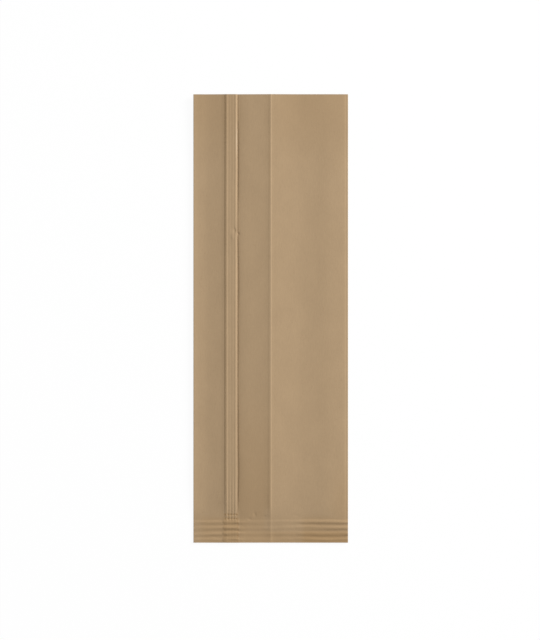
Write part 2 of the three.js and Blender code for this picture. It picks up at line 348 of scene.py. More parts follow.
class Levels:
    """Middle heights of the folded layers at a place along the bag."""

    def __init__(self, y):
        self.y = y
        self.loose = looseness(y)
        self.pressed = LAYER * squeeze(y)
        self.seam_free = smoothstep(y, *SEAM_DIP)
        self.panel_free = smoothstep(y, *PANEL_DIP)
        proudest = 1 + CREASE_GROWTH * (1 - self.loose)
        self.crease = lerp(CREASE_SEALED, proudest, smoothstep(y, *CREASE_FADE))
        self.crease_lean = CREASE_LEAN * y / MOUTH_Y
        self.groove_wide = at_places(y, GROOVE_WIDE)
        self.curl = SEAM_CURL * (y - BOTTOM_Y / 4) / MOUTH_Y
        self.curl -= SEAM_FLATTENED * bell(y - SEAM_KINK_Y - 7, 14)
        self.edge_pressed = at_places(y, EDGE_PRESSED)
        spring = MOUTH_ROOM / 3 * smoothstep(y, MOUTH_Y - MOUTH_LENGTH, MOUTH_Y)
        self.front = HALF_PAPER
        self.lower = self.front + LAYER + PANEL_ROOM * self.loose + spring
        self.upper = self.lower + LAYER + GUSSET_ROOM * self.loose + spring
        self.back = self.upper + LAYER + PANEL_ROOM * self.loose + spring

    def front_at(self, x):
        return self.front + self.pressed * between_gussets(x)

    def left_at(self, x):
        rise = lerp(left_sealed(x), left_shape(x), self.seam_free)
        return self.back + rise + self.seam_free * ripple(x, self.y)

    def seam_at(self, x):
        rise = lerp(SEAM_SEALED_HEIGHT, seam_shape(x), self.seam_free)
        rise -= self.seam_free * self.curl * smoothstep(x, SEAM_EDGE_X - 1.1, SEAM_EDGE_X)
        return self.back + rise + self.seam_free * ripple(x, self.y) - dented(x, self.y, SEAM_DENTS)

    def right_at(self, x):
        rise = right_shape(x - self.groove_wide * bell(x - SEAM_EDGE_X - 1, 3))
        rise *= min(2 * self.loose, 1) if rise < 0 else 1
        rise += SEAM_GROOVE * self.edge_pressed * beside_seam(x)
        left_flank = 1 - smoothstep(x, CREASE_X - 0.5, CREASE_X + 0.5)
        crease = self.crease * crease_shape(x - self.crease_lean * left_flank)
        sunk = self.pressed * between_gussets(x) + dented(x, self.y, PANEL_DENTS)
        free = lerp(self.panel_free, self.seam_free, under_seam(x))
        return self.back + lerp(right_sealed(x), rise + ripple(x, self.y), free) + crease - sunk

    def upper_at(self, x):
        """The upper layer of a gusset, which its side fold draws up to the back."""
        side = self.left_at(-SIDE_X) if x < 0 else self.right_at(SIDE_X)
        return lerp(self.upper, max(side - SIDE_FOLD, self.upper), by_side_fold(x))

    def lower_at(self, x):
        """The lower layer of a gusset, which its side fold draws down to the front."""
        return lerp(self.lower, min(self.front + SIDE_FOLD, self.lower), by_side_fold(x))

    def step_at(self, x):
        """The sheet where it climbs from the left panel onto the seam."""
        climb = smoothstep(x, SEAM_FOOT_X, SEAM_CREASE_X)
        return lerp(self.left_at(SEAM_FOOT_X), self.seam_at(SEAM_CREASE_X), climb)


class SheetWalk:
    """A walk along the folded sheet that lays down its outer face and its inner face together."""

    def __init__(self):
        self.outer = []
        self.inner = []

    def layer(self, x, z, facing):
        self.outer.append((x, z + facing * HALF_PAPER))
        self.inner.append((x, z - facing * HALF_PAPER))

    def fold(self, x, from_z, to_z, side, tucked=False, bulge=None):
        """A fold that bulges to a side. Tucked in, it has its outer face in its hollow."""
        reach = (-HALF_PAPER, HALF_PAPER) if tucked else (HALF_PAPER, -HALF_PAPER)
        half = abs(to_z - from_z) / 2
        start = 1 if from_z > to_z else -1
        for i in range(FOLD_STEPS + 1):
            turn = math.pi * i / FOLD_STEPS
            for face, more in zip((self.outer, self.inner), reach):
                across = side * math.sin(turn) * ((bulge or half) + more)
                face.append((x + across, (from_z + to_z) / 2 + start * math.cos(turn) * (half + more)))


def rounded_half(y, low_y, high_y, half, corner):
    """Half the width of a form with round corners, at a place along it or past its ends."""
    inside = min(y - low_y, high_y - y)
    short = min(max(corner - inside, 0.0), corner)
    return half - corner + math.sqrt(corner ** 2 - short ** 2)


def window_half(y):
    return rounded_half(y, WINDOW_LOW_Y, WINDOW_HIGH_Y, WINDOW_HALF, WINDOW_CORNER)


def film_half(y):
    return rounded_half(y, FILM_LOW.y, FILM_HIGH.y, FILM_HIGH.x, FILM_CORNER)


def front_places(edge_x, y):
    """Places across the front from fold to fold, with the window's columns in the middle."""
    half = window_half(y)
    margin = [lerp(-edge_x, -half, i / MARGIN_COLUMNS) for i in range(1, MARGIN_COLUMNS)]
    window = [lerp(-half, half, i / WINDOW_COLUMNS) for i in range(WINDOW_COLUMNS + 1)]
    return margin + window + [-x for x in reversed(margin)]


def folded_section(at):
    """The sheet's two faces at a place along the bag, its window's start and its fold under the seam."""
    side_x = SIDE_X - SIDE_FOLD_BULGE - HALF_PAPER
    gusset_x = GUSSET_X + (at.upper - at.lower) / 2 + HALF_PAPER
    creased_x = side_x - SIDE_FOLD_REACH
    inwards = divided(((side_x, GUSSET_STEPS[0]), (creased_x, GUSSET_STEPS[1])), gusset_x)[1:]
    outwards = inwards[::-1]
    walk = SheetWalk()
    # Left part of the back, from the seam outwards, and down round the left gusset
    for x in spread(SEAM_CREASE_X, SEAM_FOOT_X, CLIMB_STEP):
        walk.layer(x, at.step_at(x), 1)
    for x in divided(LEFT_STEPS, -side_x):
        walk.layer(x, at.left_at(x), 1)
    walk.fold(-side_x, at.left_at(-side_x), at.upper_at(-side_x), -1, bulge=SIDE_FOLD_BULGE)
    for x in inwards:
        walk.layer(-x, at.upper_at(-x), -1)
    walk.fold(-gusset_x, at.upper, at.lower, 1, tucked=True)
    for x in outwards:
        walk.layer(-x, at.lower_at(-x), 1)
    walk.fold(-side_x, at.lower_at(-side_x), at.front, -1, bulge=SIDE_FOLD_BULGE)
    # Front, and up round the right gusset
    window_starts = len(walk.outer) + MARGIN_COLUMNS - 1
    for x in front_places(side_x, at.y):
        walk.layer(x, at.front_at(x), -1)
    walk.fold(side_x, at.front, at.lower_at(side_x), 1, bulge=SIDE_FOLD_BULGE)
    for x in inwards:
        walk.layer(x, at.lower_at(x), 1)
    walk.fold(gusset_x, at.lower, at.upper, -1, tucked=True)
    for x in outwards:
        walk.layer(x, at.upper_at(x), -1)
    walk.fold(side_x, at.upper_at(side_x), at.right_at(side_x), 1, bulge=SIDE_FOLD_BULGE)
    # Right part of the back, over the middle crease, and in under the seam
    hidden_z = at.right_at(HAIRPIN_LEVEL_X)
    hairpin_z = at.seam_at(HAIRPIN_LEVEL_X) - PAPER
    hairpin_x = SEAM_CREASE_X + (hairpin_z - hidden_z) / 2 + HALF_PAPER
    right_steps = ((side_x, SIDE_STEP),) + RIGHT_STEPS + ((UNDER_SEAM_X, UNDER_SEAM_STEP),)
    for x in divided(right_steps, hairpin_x)[1:]:
        walk.layer(x, at.right_at(x), 1)
    walk.fold(hairpin_x, hidden_z, hairpin_z, -1, tucked=True)
    return walk, window_starts, hairpin_x


def strayed(section, at):
    """The section with its seam, and the back beside it, moved to the right towards the mouth."""
    drift = SEAM_LEAN * smoothstep(at.y, MOUTH_Y / 3, MOUTH_Y)
    middle_x = (SEAM_FOOT_X + SEAM_EDGE_X) / 2
    back_z = (at.upper + at.back) / 2
    return [(x + drift * bell(x - middle_x, 10) if z > back_z else x, z) for x, z in section]


def seam_points(at, hairpin_x):
    """The seam's double strip: its underside out to the free edge, and its top back to the crease."""
    edge_x = seam_edge(at.y)
    top_xs = spread(edge_x - SEAM_EDGE_ROUND[1], SEAM_CREASE_X, SEAM_TOP_STEP)
    top = [(x, at.seam_at(x) + HALF_PAPER) for x in top_xs]
    edge_top = at.seam_at(edge_x) + HALF_PAPER
    ply_z = edge_top - PAPER
    rounding = SEAM_PLY_LINE / 2
    edge = [(edge_x, ply_z - rounding), (edge_x - SEAM_PLY_LINE, ply_z), (edge_x, ply_z + rounding)]
    edge.append((edge_x - SEAM_EDGE_ROUND[0], edge_top - rounding))
    under_xs = spread(hairpin_x, edge_x, SEAM_UNDER_STEP)[1:]
    under = [(x, at.seam_at(x) + HALF_PAPER - 2 * PAPER) for x in under_xs]
    under.append((edge_x, edge_top - 2 * PAPER))
    return under, edge + top


def stations():
    """Places along the bag at which its section is laid down, from the bottom edge to the mouth."""
    turns = [math.pi / 2 * i / WINDOW_CORNER_ROWS for i in range(WINDOW_CORNER_ROWS)]
    window_steps = (
        (WINDOW_LOW_Y + WINDOW_CORNER, WINDOW_STEP),
        (SEAM_KINK_Y - KINK_REACH, KINK_STEP),
        (SEAM_KINK_Y + KINK_REACH, WINDOW_STEP),
    )
    ys = divided(SEAL_STEPS, WINDOW_LOW_Y)
    ys += [WINDOW_LOW_Y + WINDOW_CORNER * (1 - math.cos(turn)) for turn in turns]
    ys += divided(window_steps, WINDOW_HIGH_Y - WINDOW_CORNER)
    ys += [WINDOW_HIGH_Y - WINDOW_CORNER * (1 - math.sin(turn)) for turn in turns]
    ys += spread(WINDOW_HIGH_Y, MOUTH_Y, LOOSE_STEP)
    return ys + [MOUTH_Y]


# The darkening value holds heat browning and painted shade, and the paling value holds wear and painted
# highlight
POINT_VALUES = ("lining", "browned_and_painted_shade", "wear_and_painted_highlight", "seam_across", "seam_near", "soft")
OFF_SEAM = -1.0  # how far across the seam a point is that isn't on its top


class SheetMesh:
    """Points and faces of a sheet with thickness, and what its finish needs to know of each."""

    def __init__(self):
        self.points = []
        self.faces = []
        self.cut_edge = []
        self.of_point = {name: [] for name in POINT_VALUES}

    def row(self, section, y, **values):
        first = len(self.points)
        self.points += [(x * MM, y * MM, z * MM) for x, z in section]
        for name, column in self.of_point.items():
            value = values.get(name, 0.0)
            column += value if isinstance(value, list) else [value] * len(section)
        return first

    def face(self, corners, cut=False):
        self.faces.append(corners)
        self.cut_edge.append(float(cut))

    def to_object(self, name):
        mesh = bpy.data.meshes.new(name)
        mesh.from_pydata(self.points, [], self.faces)
        for attribute, values in self.of_point.items():
            mesh.attributes.new(attribute, "FLOAT", "POINT").data.foreach_set("value", values)
        mesh.attributes.new("cut_edge", "FLOAT", "FACE").data.foreach_set("value", self.cut_edge)
        piece = bpy.data.objects.new(name, mesh)
        bpy.context.scene.collection.objects.link(piece)
        face_out(piece)
        return piece


def face_out(piece):
    shape = bmesh.new()
    shape.from_mesh(piece.data)
    bmesh.ops.recalc_face_normals(shape, faces=shape.faces)
    shape.to_mesh(piece.data)
    shape.free()


def wear_and_painted_highlight(section, at):
    """How pale the creases and edges of the back are: partly wear, and painted highlight on the middle
    crease, the side folds and most of all the seam's free edge.
    """
    lip = 0.1 + 2.2 * bell(at.y - SEAM_HIGHLIGHT_Y, 11)
    # Places across, reach across, and how pale they are
    creases = ((CREASE_X, 0.5, 0.3), (-SIDE_X, 0.7, 0.6), (SIDE_X, 0.7, 0.3), (SEAM_EDGE_X - 0.5, 0.45, lip))
    values = []
    for x, z in section:
        rubbed = max(share * bell(x - crease, reach) for crease, reach, share in creases)
        values.append(rubbed * at.seam_free if z > at.back - PAPER else 0.0)
    return values


def across_seam(points, edge_x):
    return [(x - SEAM_CREASE_X) / (edge_x - SEAM_CREASE_X) for x, _ in points]


def seam_near(x, z, at):
    """1 on the seam and at its edges, falling to 0 beside it on the back."""
    if z < at.upper:
        return 0.0
    edge_x = seam_edge(at.y)
    return smoothstep(x, SEAM_FOOT_X - 1.2, SEAM_FOOT_X) * (1 - smoothstep(x, edge_x, edge_x + 2.2))


def jaw_marks(x, y):
    """Dark dots where the jaws pressed the valleys of the seam's ribs: partly scorch, partly painted shade
    in the dents.
    """
    across = (x - SEAM_CREASE_X) / (SEAM_EDGE_X - SEAM_CREASE_X)
    dotted = 0.5 + 0.5 * math.cos(2 * math.pi * (SEAM_RIBS * across + SEAM_RIB_PHASE))
    places = [CROSS_MARKS_Y - i * CROSS_MARK_PITCH for i in range(CROSS_MARKS)]
    return dotted * max(bell(y - place, CROSS_MARK_WIDTH) for place in places)


def in_seal(y):
    """1 in the bottom seal, falling to 0 just above it."""
    return 1 - smoothstep(y, SEAL_TOP_Y - 2, SEAL_TOP_Y + 5)


def right_of_crease(x):
    return smoothstep(x, CREASE_X - 0.7, CREASE_X + 1.3)


def seal_heat_and_shade(x, y, by_seam):
    """Darkened in the seal, partly heat browning by the jaws and partly painted shade of its ribs: less in
    the middle and at the left end, more on the seam and lower right.
    """
    low = 1 - smoothstep(y, BOTTOM_Y + 7, BOTTOM_Y + 10)
    outer = smoothstep(x, GUSSET_X - 3, GUSSET_X + 3)
    middle = lerp(0.6 * smoothstep(x, -22, -8), 0.8, right_of_crease(x)) * (1 - outer) * (1 - low)
    left_end = 0.7 * (1 - smoothstep(x, -58, -50))
    return in_seal(y) * (1 - middle - left_end + 0.9 * outer * low + 0.5 * by_seam)


def panel_darkening(x, y):
    """Darker between the seam and the middle crease towards the seal, at the lower right corner, and along
    the mouth.
    """
    panel = 0.75 * smoothstep(x, SEAM_EDGE_X, SEAM_EDGE_X + 3) * (1 - right_of_crease(x))
    panel *= 1 - smoothstep(y, SEAL_TOP_Y + 6, SEAL_TOP_Y + 130)
    corner = 0.6 * smoothstep(x, 40, 56) * (1 - smoothstep(y, SEAL_TOP_Y + 10, SEAL_TOP_Y + 56))
    mouth = 0.6 * smoothstep(y, MOUTH_Y - 70, MOUTH_Y) * (1 - bell(x + 12, 16))
    return max(panel, corner, mouth)


def painted_crease_shade(x, at):
    """Painted shade: lines at both sides of the seam, on the left flank of the middle crease, and a spot in
    the dent at the kink.
    """
    foot = bell(x - SEAM_CREASE_X + 0.6, 0.8) * smoothstep(at.y, SEAL_TOP_Y + 4, SEAL_TOP_Y + 40)
    groove = bell(x - SEAM_EDGE_X - 0.9, 0.8) * (1 - at.edge_pressed)
    flank = bell(x - CREASE_X + 0.8, 0.5) * bell(at.y - CREASE_SHADED_Y, 26)
    lines = 0.7 * max(foot, groove, flank) * smoothstep(at.y, SEAL_TOP_Y, SEAL_TOP_Y + 22)
    return lines + 0.5 * bell(x - SEAM_EDGE_X + 1.4, 0.7) * bell(at.y - SEAM_KINK_Y - 1.3, 1.6)


def paler_crease(x, y):
    """How much paler the middle crease stays where it runs into the seal."""
    share = 0.85 * bell(x - CREASE_X + 2, 3.2) * smoothstep(y, BOTTOM_Y + 8, BOTTOM_Y + 12)
    return share * (1 - smoothstep(y, SEAL_TOP_Y + 4, SEAL_TOP_Y + 12))


def browning_and_painted_shade(x, z, at):
    """How much the outside of the paper is darkened at a place: heat browning and painted shade in the seal,
    painted shade along the creases and the seam, and darker patches on the panels.
    """
    if z < at.upper:
        return in_seal(at.y)
    by_seam = seam_near(x, z, at)
    marks = CROSS_MARK_SCORCH_AND_SHADE * by_seam * jaw_marks(x, at.y)
    broad = max(seal_heat_and_shade(x, at.y, by_seam), marks, panel_darkening(x, at.y))
    return broad * (1 - paler_crease(x, at.y)) + painted_crease_shade(x, at)


def rib_strength(section, at):
    """How near the seam each point is, and where the jaws pressed the seal less."""
    return {
        "seam_near": [seam_near(x, z, at) for x, z in section],
        "soft": [dented(x, at.y, SEAL_SOFT) for x, _ in section],
    }


def folded_sheet():
    """The whole folded sheet: its outer skin, and its lined inside from the seal to the mouth."""
    sheet = SheetMesh()
    ys = stations()
    outer_rows = []
    inner_rows = []
    for y in ys:
        at = Levels(y)
        walk, window_starts, hairpin_x = folded_section(at)
        under, over = seam_points(at, hairpin_x)
        outline = strayed(walk.outer + under + over, at)
        hollow = strayed(walk.inner, at)
        outside = {
            "browned_and_painted_shade": [browning_and_painted_shade(x, z, at) for x, z in outline],
            "wear_and_painted_highlight": wear_and_painted_highlight(outline, at),
            "seam_across": [OFF_SEAM] * len(walk.outer + under) + across_seam(over, seam_edge(y)),
        }
        outer_rows.append(sheet.row(outline, y, **outside, **rib_strength(outline, at)))
        if y >= SEAL_TOP_Y - MM or y == ys[0]:
            inside = {"lining": 1.0, "seam_across": OFF_SEAM}
            inner_rows.append(sheet.row(hollow, y, **inside, **rib_strength(hollow, at)))
        else:
            inner_rows.append(None)
    pairs = len(walk.inner)
    around = len(outline)
    window = range(window_starts, window_starts + WINDOW_COLUMNS)
    for r in range(len(ys) - 1):
        in_window = WINDOW_LOW_Y - MM < ys[r] and ys[r + 1] < WINDOW_HIGH_Y + MM
        skin(sheet, outer_rows, r, around, window if in_window else ())
        if inner_rows[r] is not None and inner_rows[r + 1] is not None:
            skin(sheet, inner_rows, r, pairs, window if in_window else ())
        if in_window:
            for i in (window.start, window.stop):
                low = (outer_rows[r] + i, inner_rows[r] + i)
                high = (inner_rows[r + 1] + i, outer_rows[r + 1] + i)
                sheet.face(low + high, cut=True)
    for r, y in enumerate(ys):
        if min(abs(y - WINDOW_LOW_Y), abs(y - WINDOW_HIGH_Y)) < MM:
            sheet_edge(sheet, outer_rows[r], inner_rows[r], window)
    for r in (0, len(ys) - 1):
        sheet_edge(sheet, outer_rows[r], inner_rows[r], range(pairs - 1))
        seam_end = [outer_rows[r] + i for i in range(pairs - 1, around)]
        sheet.face(seam_end + [outer_rows[r], inner_rows[r], inner_rows[r] + pairs - 1], cut=True)
    seal_top = next(r for r, y in enumerate(ys) if y >= SEAL_TOP_Y - MM)
    for r in (0, seal_top):
        sheet.face([inner_rows[r] + i for i in range(pairs)], cut=True)
    return sheet.to_object("kraft_bag")


def skin(sheet, rows, r, around, left_open):
    """Faces between a row and the next one, all round but where it is left open."""
    for i in range(around):
        if i not in left_open:
            j = (i + 1) % around
            sheet.face((rows[r] + i, rows[r] + j, rows[r + 1] + j, rows[r + 1] + i))


def sheet_edge(sheet, outer, inner, columns):
    """Cut edge of a sheet, between its two faces."""
    for i in columns:
        sheet.face((outer + i, outer + i + 1, inner + i + 1, inner + i), cut=True)


# Node helpers

def put(tree, kind, inputs=None, **settings):
    """A new node, its settings made, and each of its inputs linked or set."""
    node = tree.nodes.new(kind)
    for name, value in settings.items():
        setattr(node, name, value)
    for name, value in (inputs or {}).items():
        if isinstance(value, bpy.types.NodeSocket):
            tree.links.new(value, node.inputs[name])
        else:
            node.inputs[name].default_value = value
    return node


def calc(tree, operation, *operands):
    """The result of one sum."""
    return put(tree, "ShaderNodeMath", dict(enumerate(operands)), operation=operation).outputs[0]


def ramp(tree, value, low, high, to_low=0.0, to_high=1.0, kind="SMOOTHSTEP"):
    inputs = {"Value": value, "From Min": low, "From Max": high, "To Min": to_low, "To Max": to_high}
    return put(tree, "ShaderNodeMapRange", inputs, interpolation_type=kind).outputs[0]


# Ribs that the sealing jaws pressed into the bottom seal and the seam

RIB_SIZES = {
    "Seal top": SEAL_TOP_Y * MM,
    "Seal rib pitch": SEAL_LENGTH / SEAL_RIBS * MM,
    "Seal rib height": SEAL_RIB_HEIGHT * MM,
    "Seal rib wander": SEAL_RIB_WANDER * MM,
    "Seal arch": SEAL_ARCH * MM,
    "Seal droop": SEAL_DROOP * MM,
    "Seal seam bend": SEAL_SEAM_BEND * MM,
    "Last rib": SEAL_RIBS - 1 + SEAL_LAST_RIB,
    "Side": SIDE_X * MM,
    "Arch rises": SEAL_ARCH_TOP[0],
    "Arch falls": SEAL_ARCH_TOP[1],
    "Droop starts": -SEAL_DROOP_REACH[0],
    "Droop full": -SEAL_DROOP_REACH[1],
    "Press range": SEAL_PRESS_RANGE,
    "Press lean": SEAL_PRESS_LEAN / SIDE_X / MM,
    "Middle share": SEAL_MIDDLE_SHARE,
    "Middle reach": SEAL_MIDDLE_REACH,
    "Seam share": SEAL_SEAM_SHARE,
    "Gusset fold": GUSSET_X * MM,
    "Seam ribs": SEAM_RIBS,
    "Seam rib height": SEAM_RIB_HEIGHT * MM,
    "Seam rib growth": SEAM_RIB_GROWTH,
    "Growth full": SEAM_GROWTH_REACH[0] * MM,
    "Growth ends": SEAM_GROWTH_REACH[1] * MM,
    "Seam rib phase": SEAM_RIB_PHASE,
    "Seam rib sealed": SEAM_RIB_SEALED,
    "Seam rib fade": SEAM_RIB_FADE * MM,
    "First cross mark": CROSS_MARKS_Y * MM,
    "Cross mark pitch": CROSS_MARK_PITCH * MM,
    "Cross mark depth": CROSS_MARK_DEPTH * MM,
    "Cross mark width": CROSS_MARK_WIDTH * MM,
    "Cross mark fade": CROSS_MARK_FADE,
}


def wave(tree, turns):
    """0 at whole turns and 1 halfway between them."""
    swing = calc(tree, "COSINE", calc(tree, "MULTIPLY", turns, 2 * math.pi))
    return calc(tree, "MULTIPLY_ADD", swing, -0.5, 0.5)


def seal_bend(tree, sizes, x, y, near_seam):
    """How far the seal's ribs bend towards the mouth: over the seam, at the right, less at the left."""
    outwards = calc(tree, "DIVIDE", x, sizes["Side"])
    rises = ramp(tree, outwards, 0.0, sizes["Arch rises"])
    arched = calc(tree, "SUBTRACT", rises, ramp(tree, outwards, sizes["Arch falls"], 1.0))
    bottom = calc(tree, "MULTIPLY_ADD", sizes["Seal rib pitch"], -SEAL_RIBS, sizes["Seal top"])
    arched = calc(tree, "MULTIPLY", arched, ramp(tree, y, bottom, sizes["Seal top"], kind="LINEAR"))
    drooped = ramp(tree, outwards, sizes["Droop full"], sizes["Droop starts"], 1.0, 0.0)
    bend = calc(tree, "MULTIPLY", near_seam, sizes["Seal seam bend"])
    bend = calc(tree, "MULTIPLY_ADD", arched, sizes["Seal arch"], bend)
    return calc(tree, "SUBTRACT", bend, calc(tree, "MULTIPLY", drooped, sizes["Seal droop"]))


def seal_rib_height(tree, sizes, x, y, near_seam):
    """How high the seal's ribs stand: most on the seam, least in the middle, and uneven everywhere."""
    inner = calc(tree, "MULTIPLY", sizes["Gusset fold"], sizes["Middle reach"])
    share = ramp(tree, calc(tree, "ABSOLUTE", x), inner, sizes["Gusset fold"], sizes["Middle share"], 1.0)
    share = calc(tree, "MULTIPLY", share, ramp(tree, near_seam, 0.0, 1.0, 1.0, sizes["Seam share"]))
    uneven = calc(tree, "SUBTRACT", grain(tree, SEAL_PRESS_GRAIN, x, y), 0.5)
    press = calc(tree, "MULTIPLY_ADD", x, sizes["Press lean"], 1.0)
    press = calc(tree, "MULTIPLY_ADD", uneven, sizes["Press range"], press)
    return calc(tree, "MULTIPLY", calc(tree, "MULTIPLY", sizes["Seal rib height"], share), press)


def seal_lift(tree, sizes, x, y, near_seam, soft):
    """How far the ribs of the bottom seal lift every layer."""
    straight = calc(tree, "SUBTRACT", y, seal_bend(tree, sizes, x, y, near_seam))
    stray = calc(tree, "SUBTRACT", grain(tree, SEAL_WANDER_GRAIN, x, y), 0.5)
    place = calc(tree, "MULTIPLY_ADD", stray, sizes["Seal rib wander"], straight)
    below = calc(tree, "SUBTRACT", sizes["Seal top"], place)
    turns = calc(tree, "MAXIMUM", calc(tree, "DIVIDE", below, sizes["Seal rib pitch"]), 0.0)
    ribs = wave(tree, calc(tree, "MINIMUM", turns, sizes["Last rib"]))
    flatter = calc(tree, "MULTIPLY_ADD", calc(tree, "SUBTRACT", 0.5, ribs), soft, ribs)
    return calc(tree, "MULTIPLY", flatter, seal_rib_height(tree, sizes, x, y, near_seam))


def grain(tree, per_metre, x, y):
    """Soft noise over the sheet, the same on both faces of a layer."""
    scaled = [calc(tree, "MULTIPLY", value, scale) for value, scale in zip((x, y), per_metre)]
    place = put(tree, "ShaderNodeCombineXYZ", {"X": scaled[0], "Y": scaled[1]}).outputs[0]
    return put(tree, "ShaderNodeTexNoise", {"Vector": place, "Scale": 1.0, "Detail": 1.0}).outputs[0]


def seam_lift(tree, sizes, y, across, on_seam):
    """How far the fine ribs lift the seam, less the dents across it."""
    ribs = wave(tree, calc(tree, "MULTIPLY_ADD", across, sizes["Seam ribs"], sizes["Seam rib phase"]))
    above_seal = calc(tree, "SUBTRACT", y, sizes["Seal top"])
    faded = calc(tree, "SUBTRACT", 0.0, sizes["Seam rib fade"])
    share = ramp(tree, above_seal, faded, 0.0, sizes["Seam rib sealed"], 1.0)
    ribs = calc(tree, "MULTIPLY_ADD", calc(tree, "SUBTRACT", ribs, 0.5), share, 0.5)
    near_seal = ramp(tree, above_seal, sizes["Growth full"], sizes["Growth ends"], 1.0, 0.0)
    growth = calc(tree, "MULTIPLY_ADD", near_seal, sizes["Seam rib growth"], 1.0)
    lift = calc(tree, "MULTIPLY", ribs, calc(tree, "MULTIPLY", growth, sizes["Seam rib height"]))
    from_edge = calc(tree, "MINIMUM", across, calc(tree, "SUBTRACT", 1.0, across))
    fade = ramp(tree, from_edge, 0.0, sizes["Cross mark fade"])
    depth = calc(tree, "MULTIPLY", sizes["Cross mark depth"], fade)
    for i in range(CROSS_MARKS):
        below = calc(tree, "MULTIPLY", sizes["Cross mark pitch"], i)
        away = calc(tree, "SUBTRACT", y, calc(tree, "SUBTRACT", sizes["First cross mark"], below))
        away = calc(tree, "ABSOLUTE", away)
        dent = ramp(tree, away, 0.0, sizes["Cross mark width"], 1.0, 0.0)
        lift = calc(tree, "SUBTRACT", lift, calc(tree, "MULTIPLY", dent, depth))
    return calc(tree, "MULTIPLY", lift, on_seam)


def press_ribs(piece, material):
    """Presses the ribs into the sheet by a node tree, and leaves a plain mesh."""
    tree = bpy.data.node_groups.new("pressed_ribs", "GeometryNodeTree")
    tree.interface.new_socket("Sheet", in_out="INPUT", socket_type="NodeSocketGeometry")
    tree.interface.new_socket("Sheet", in_out="OUTPUT", socket_type="NodeSocketGeometry")
    identifiers = {}
    for name in RIB_SIZES:
        socket = tree.interface.new_socket(name, in_out="INPUT", socket_type="NodeSocketFloat")
        identifiers[name] = socket.identifier
    start = put(tree, "NodeGroupInput")
    sizes = {name: start.outputs[name] for name in RIB_SIZES}
    place = put(tree, "ShaderNodeSeparateXYZ", {0: put(tree, "GeometryNodeInputPosition").outputs[0]})
    x, y = place.outputs[0], place.outputs[1]
    across, near_seam, soft = (
        put(tree, "GeometryNodeInputNamedAttribute", {"Name": name}, data_type="FLOAT").outputs["Attribute"]
        for name in ("seam_across", "seam_near", "soft")
    )
    on_seam = calc(tree, "GREATER_THAN", across, OFF_SEAM / 2)
    pressed = seal_lift(tree, sizes, x, y, near_seam, soft)
    lift = calc(tree, "ADD", pressed, seam_lift(tree, sizes, y, across, on_seam))
    offset = put(tree, "ShaderNodeCombineXYZ", {"Z": lift}).outputs[0]
    moved = put(tree, "GeometryNodeSetPosition", {"Geometry": start.outputs["Sheet"], "Offset": offset})
    realized = put(tree, "GeometryNodeRealizeInstances", {"Geometry": moved.outputs[0]})
    painted = put(tree, "GeometryNodeSetMaterial", {"Geometry": realized.outputs[0], "Material": material})
    put(tree, "NodeGroupOutput", {"Sheet": painted.outputs[0]})
    modifier = piece.modifiers.new("ribs", "NODES")
    modifier.node_group = tree
    for name, size in RIB_SIZES.items():
        modifier[identifiers[name]] = float(size)
    depsgraph = bpy.context.evaluated_depsgraph_get()
    plain = bpy.data.meshes.new_from_object(
        piece.evaluated_get(depsgraph), preserve_all_data_layers=True, depsgraph=depsgraph
    )
    piece.modifiers.remove(modifier)
    piece.data = plain
    plain.name = piece.name


def smooth(piece):
    piece.data.shade_smooth()
    piece.data.set_sharp_from_angle(angle=math.radians(SHARP_DEGREES))


# Finishes

# Grains a metre across the sheet, along it and through it
CLOUD_GRAIN = (70, 45, 70)
FIBRE_GRAIN = (1500, 240, 1500)
FLECK_GRAIN = (3000, 800, 3000)
SCUFF_GRAIN = (260, 30, 260)
FIBRE_RELIEF = 0.03

KRAFT_DARK = (0.364, 0.252, 0.145, 1)
KRAFT_LIGHT = (0.468, 0.327, 0.190, 1)
# pale of rubbed folds and of painted highlight
KRAFT_RUBBED_AND_HIGHLIGHT = (0.570, 0.455, 0.325, 1)
KRAFT_CORE = (0.500, 0.370, 0.240, 1)
# deep brown of flecks, of heat browning and of painted shade
KRAFT_DEEP_BROWN = (0.305, 0.180, 0.070, 1)
# How far the colours cover the paper at their strongest
FLECK_SHARE = 0.45
BROWNED_AND_SHADE_SHARE = 0.3
RUBBED_AND_HIGHLIGHT_SHARE = 0.25
CORE_SHARE = 0.8
# Roughness of the paper, and how much smoother its lined places are, and its places of heat browning and
# painted shade
PAPER_ROUGHNESS = (0.7, 0.86)
LINING_GLOSS = 0.42
BROWNED_AND_SHADE_GLOSS = 0.08

FILM_TINT = (0.95, 0.965, 0.965, 1)
FILM_HAZE = (0.86, 0.89, 0.89, 1)


def attribute(tree, name):
    return put(tree, "ShaderNodeAttribute", attribute_name=name).outputs["Fac"]


def mix_colour(tree, share, a, b):
    node = put(tree, "ShaderNodeMix", data_type="RGBA")
    for socket, value in ((node.inputs[0], share), (node.inputs[6], a), (node.inputs[7], b)):
        if isinstance(value, bpy.types.NodeSocket):
            tree.links.new(value, socket)
        else:
            socket.default_value = value
    return node.outputs[2]


def stretched_noise(tree, place, stretch, detail, roughness=0.5):
    """Noise whose grain is as long in each direction as the stretch says, in grains a metre."""
    scaled = put(tree, "ShaderNodeMapping", {"Vector": place, "Scale": stretch}).outputs[0]
    inputs = {"Vector": scaled, "Scale": 1.0, "Detail": detail, "Roughness": roughness}
    return put(tree, "ShaderNodeTexNoise", inputs).outputs[0]


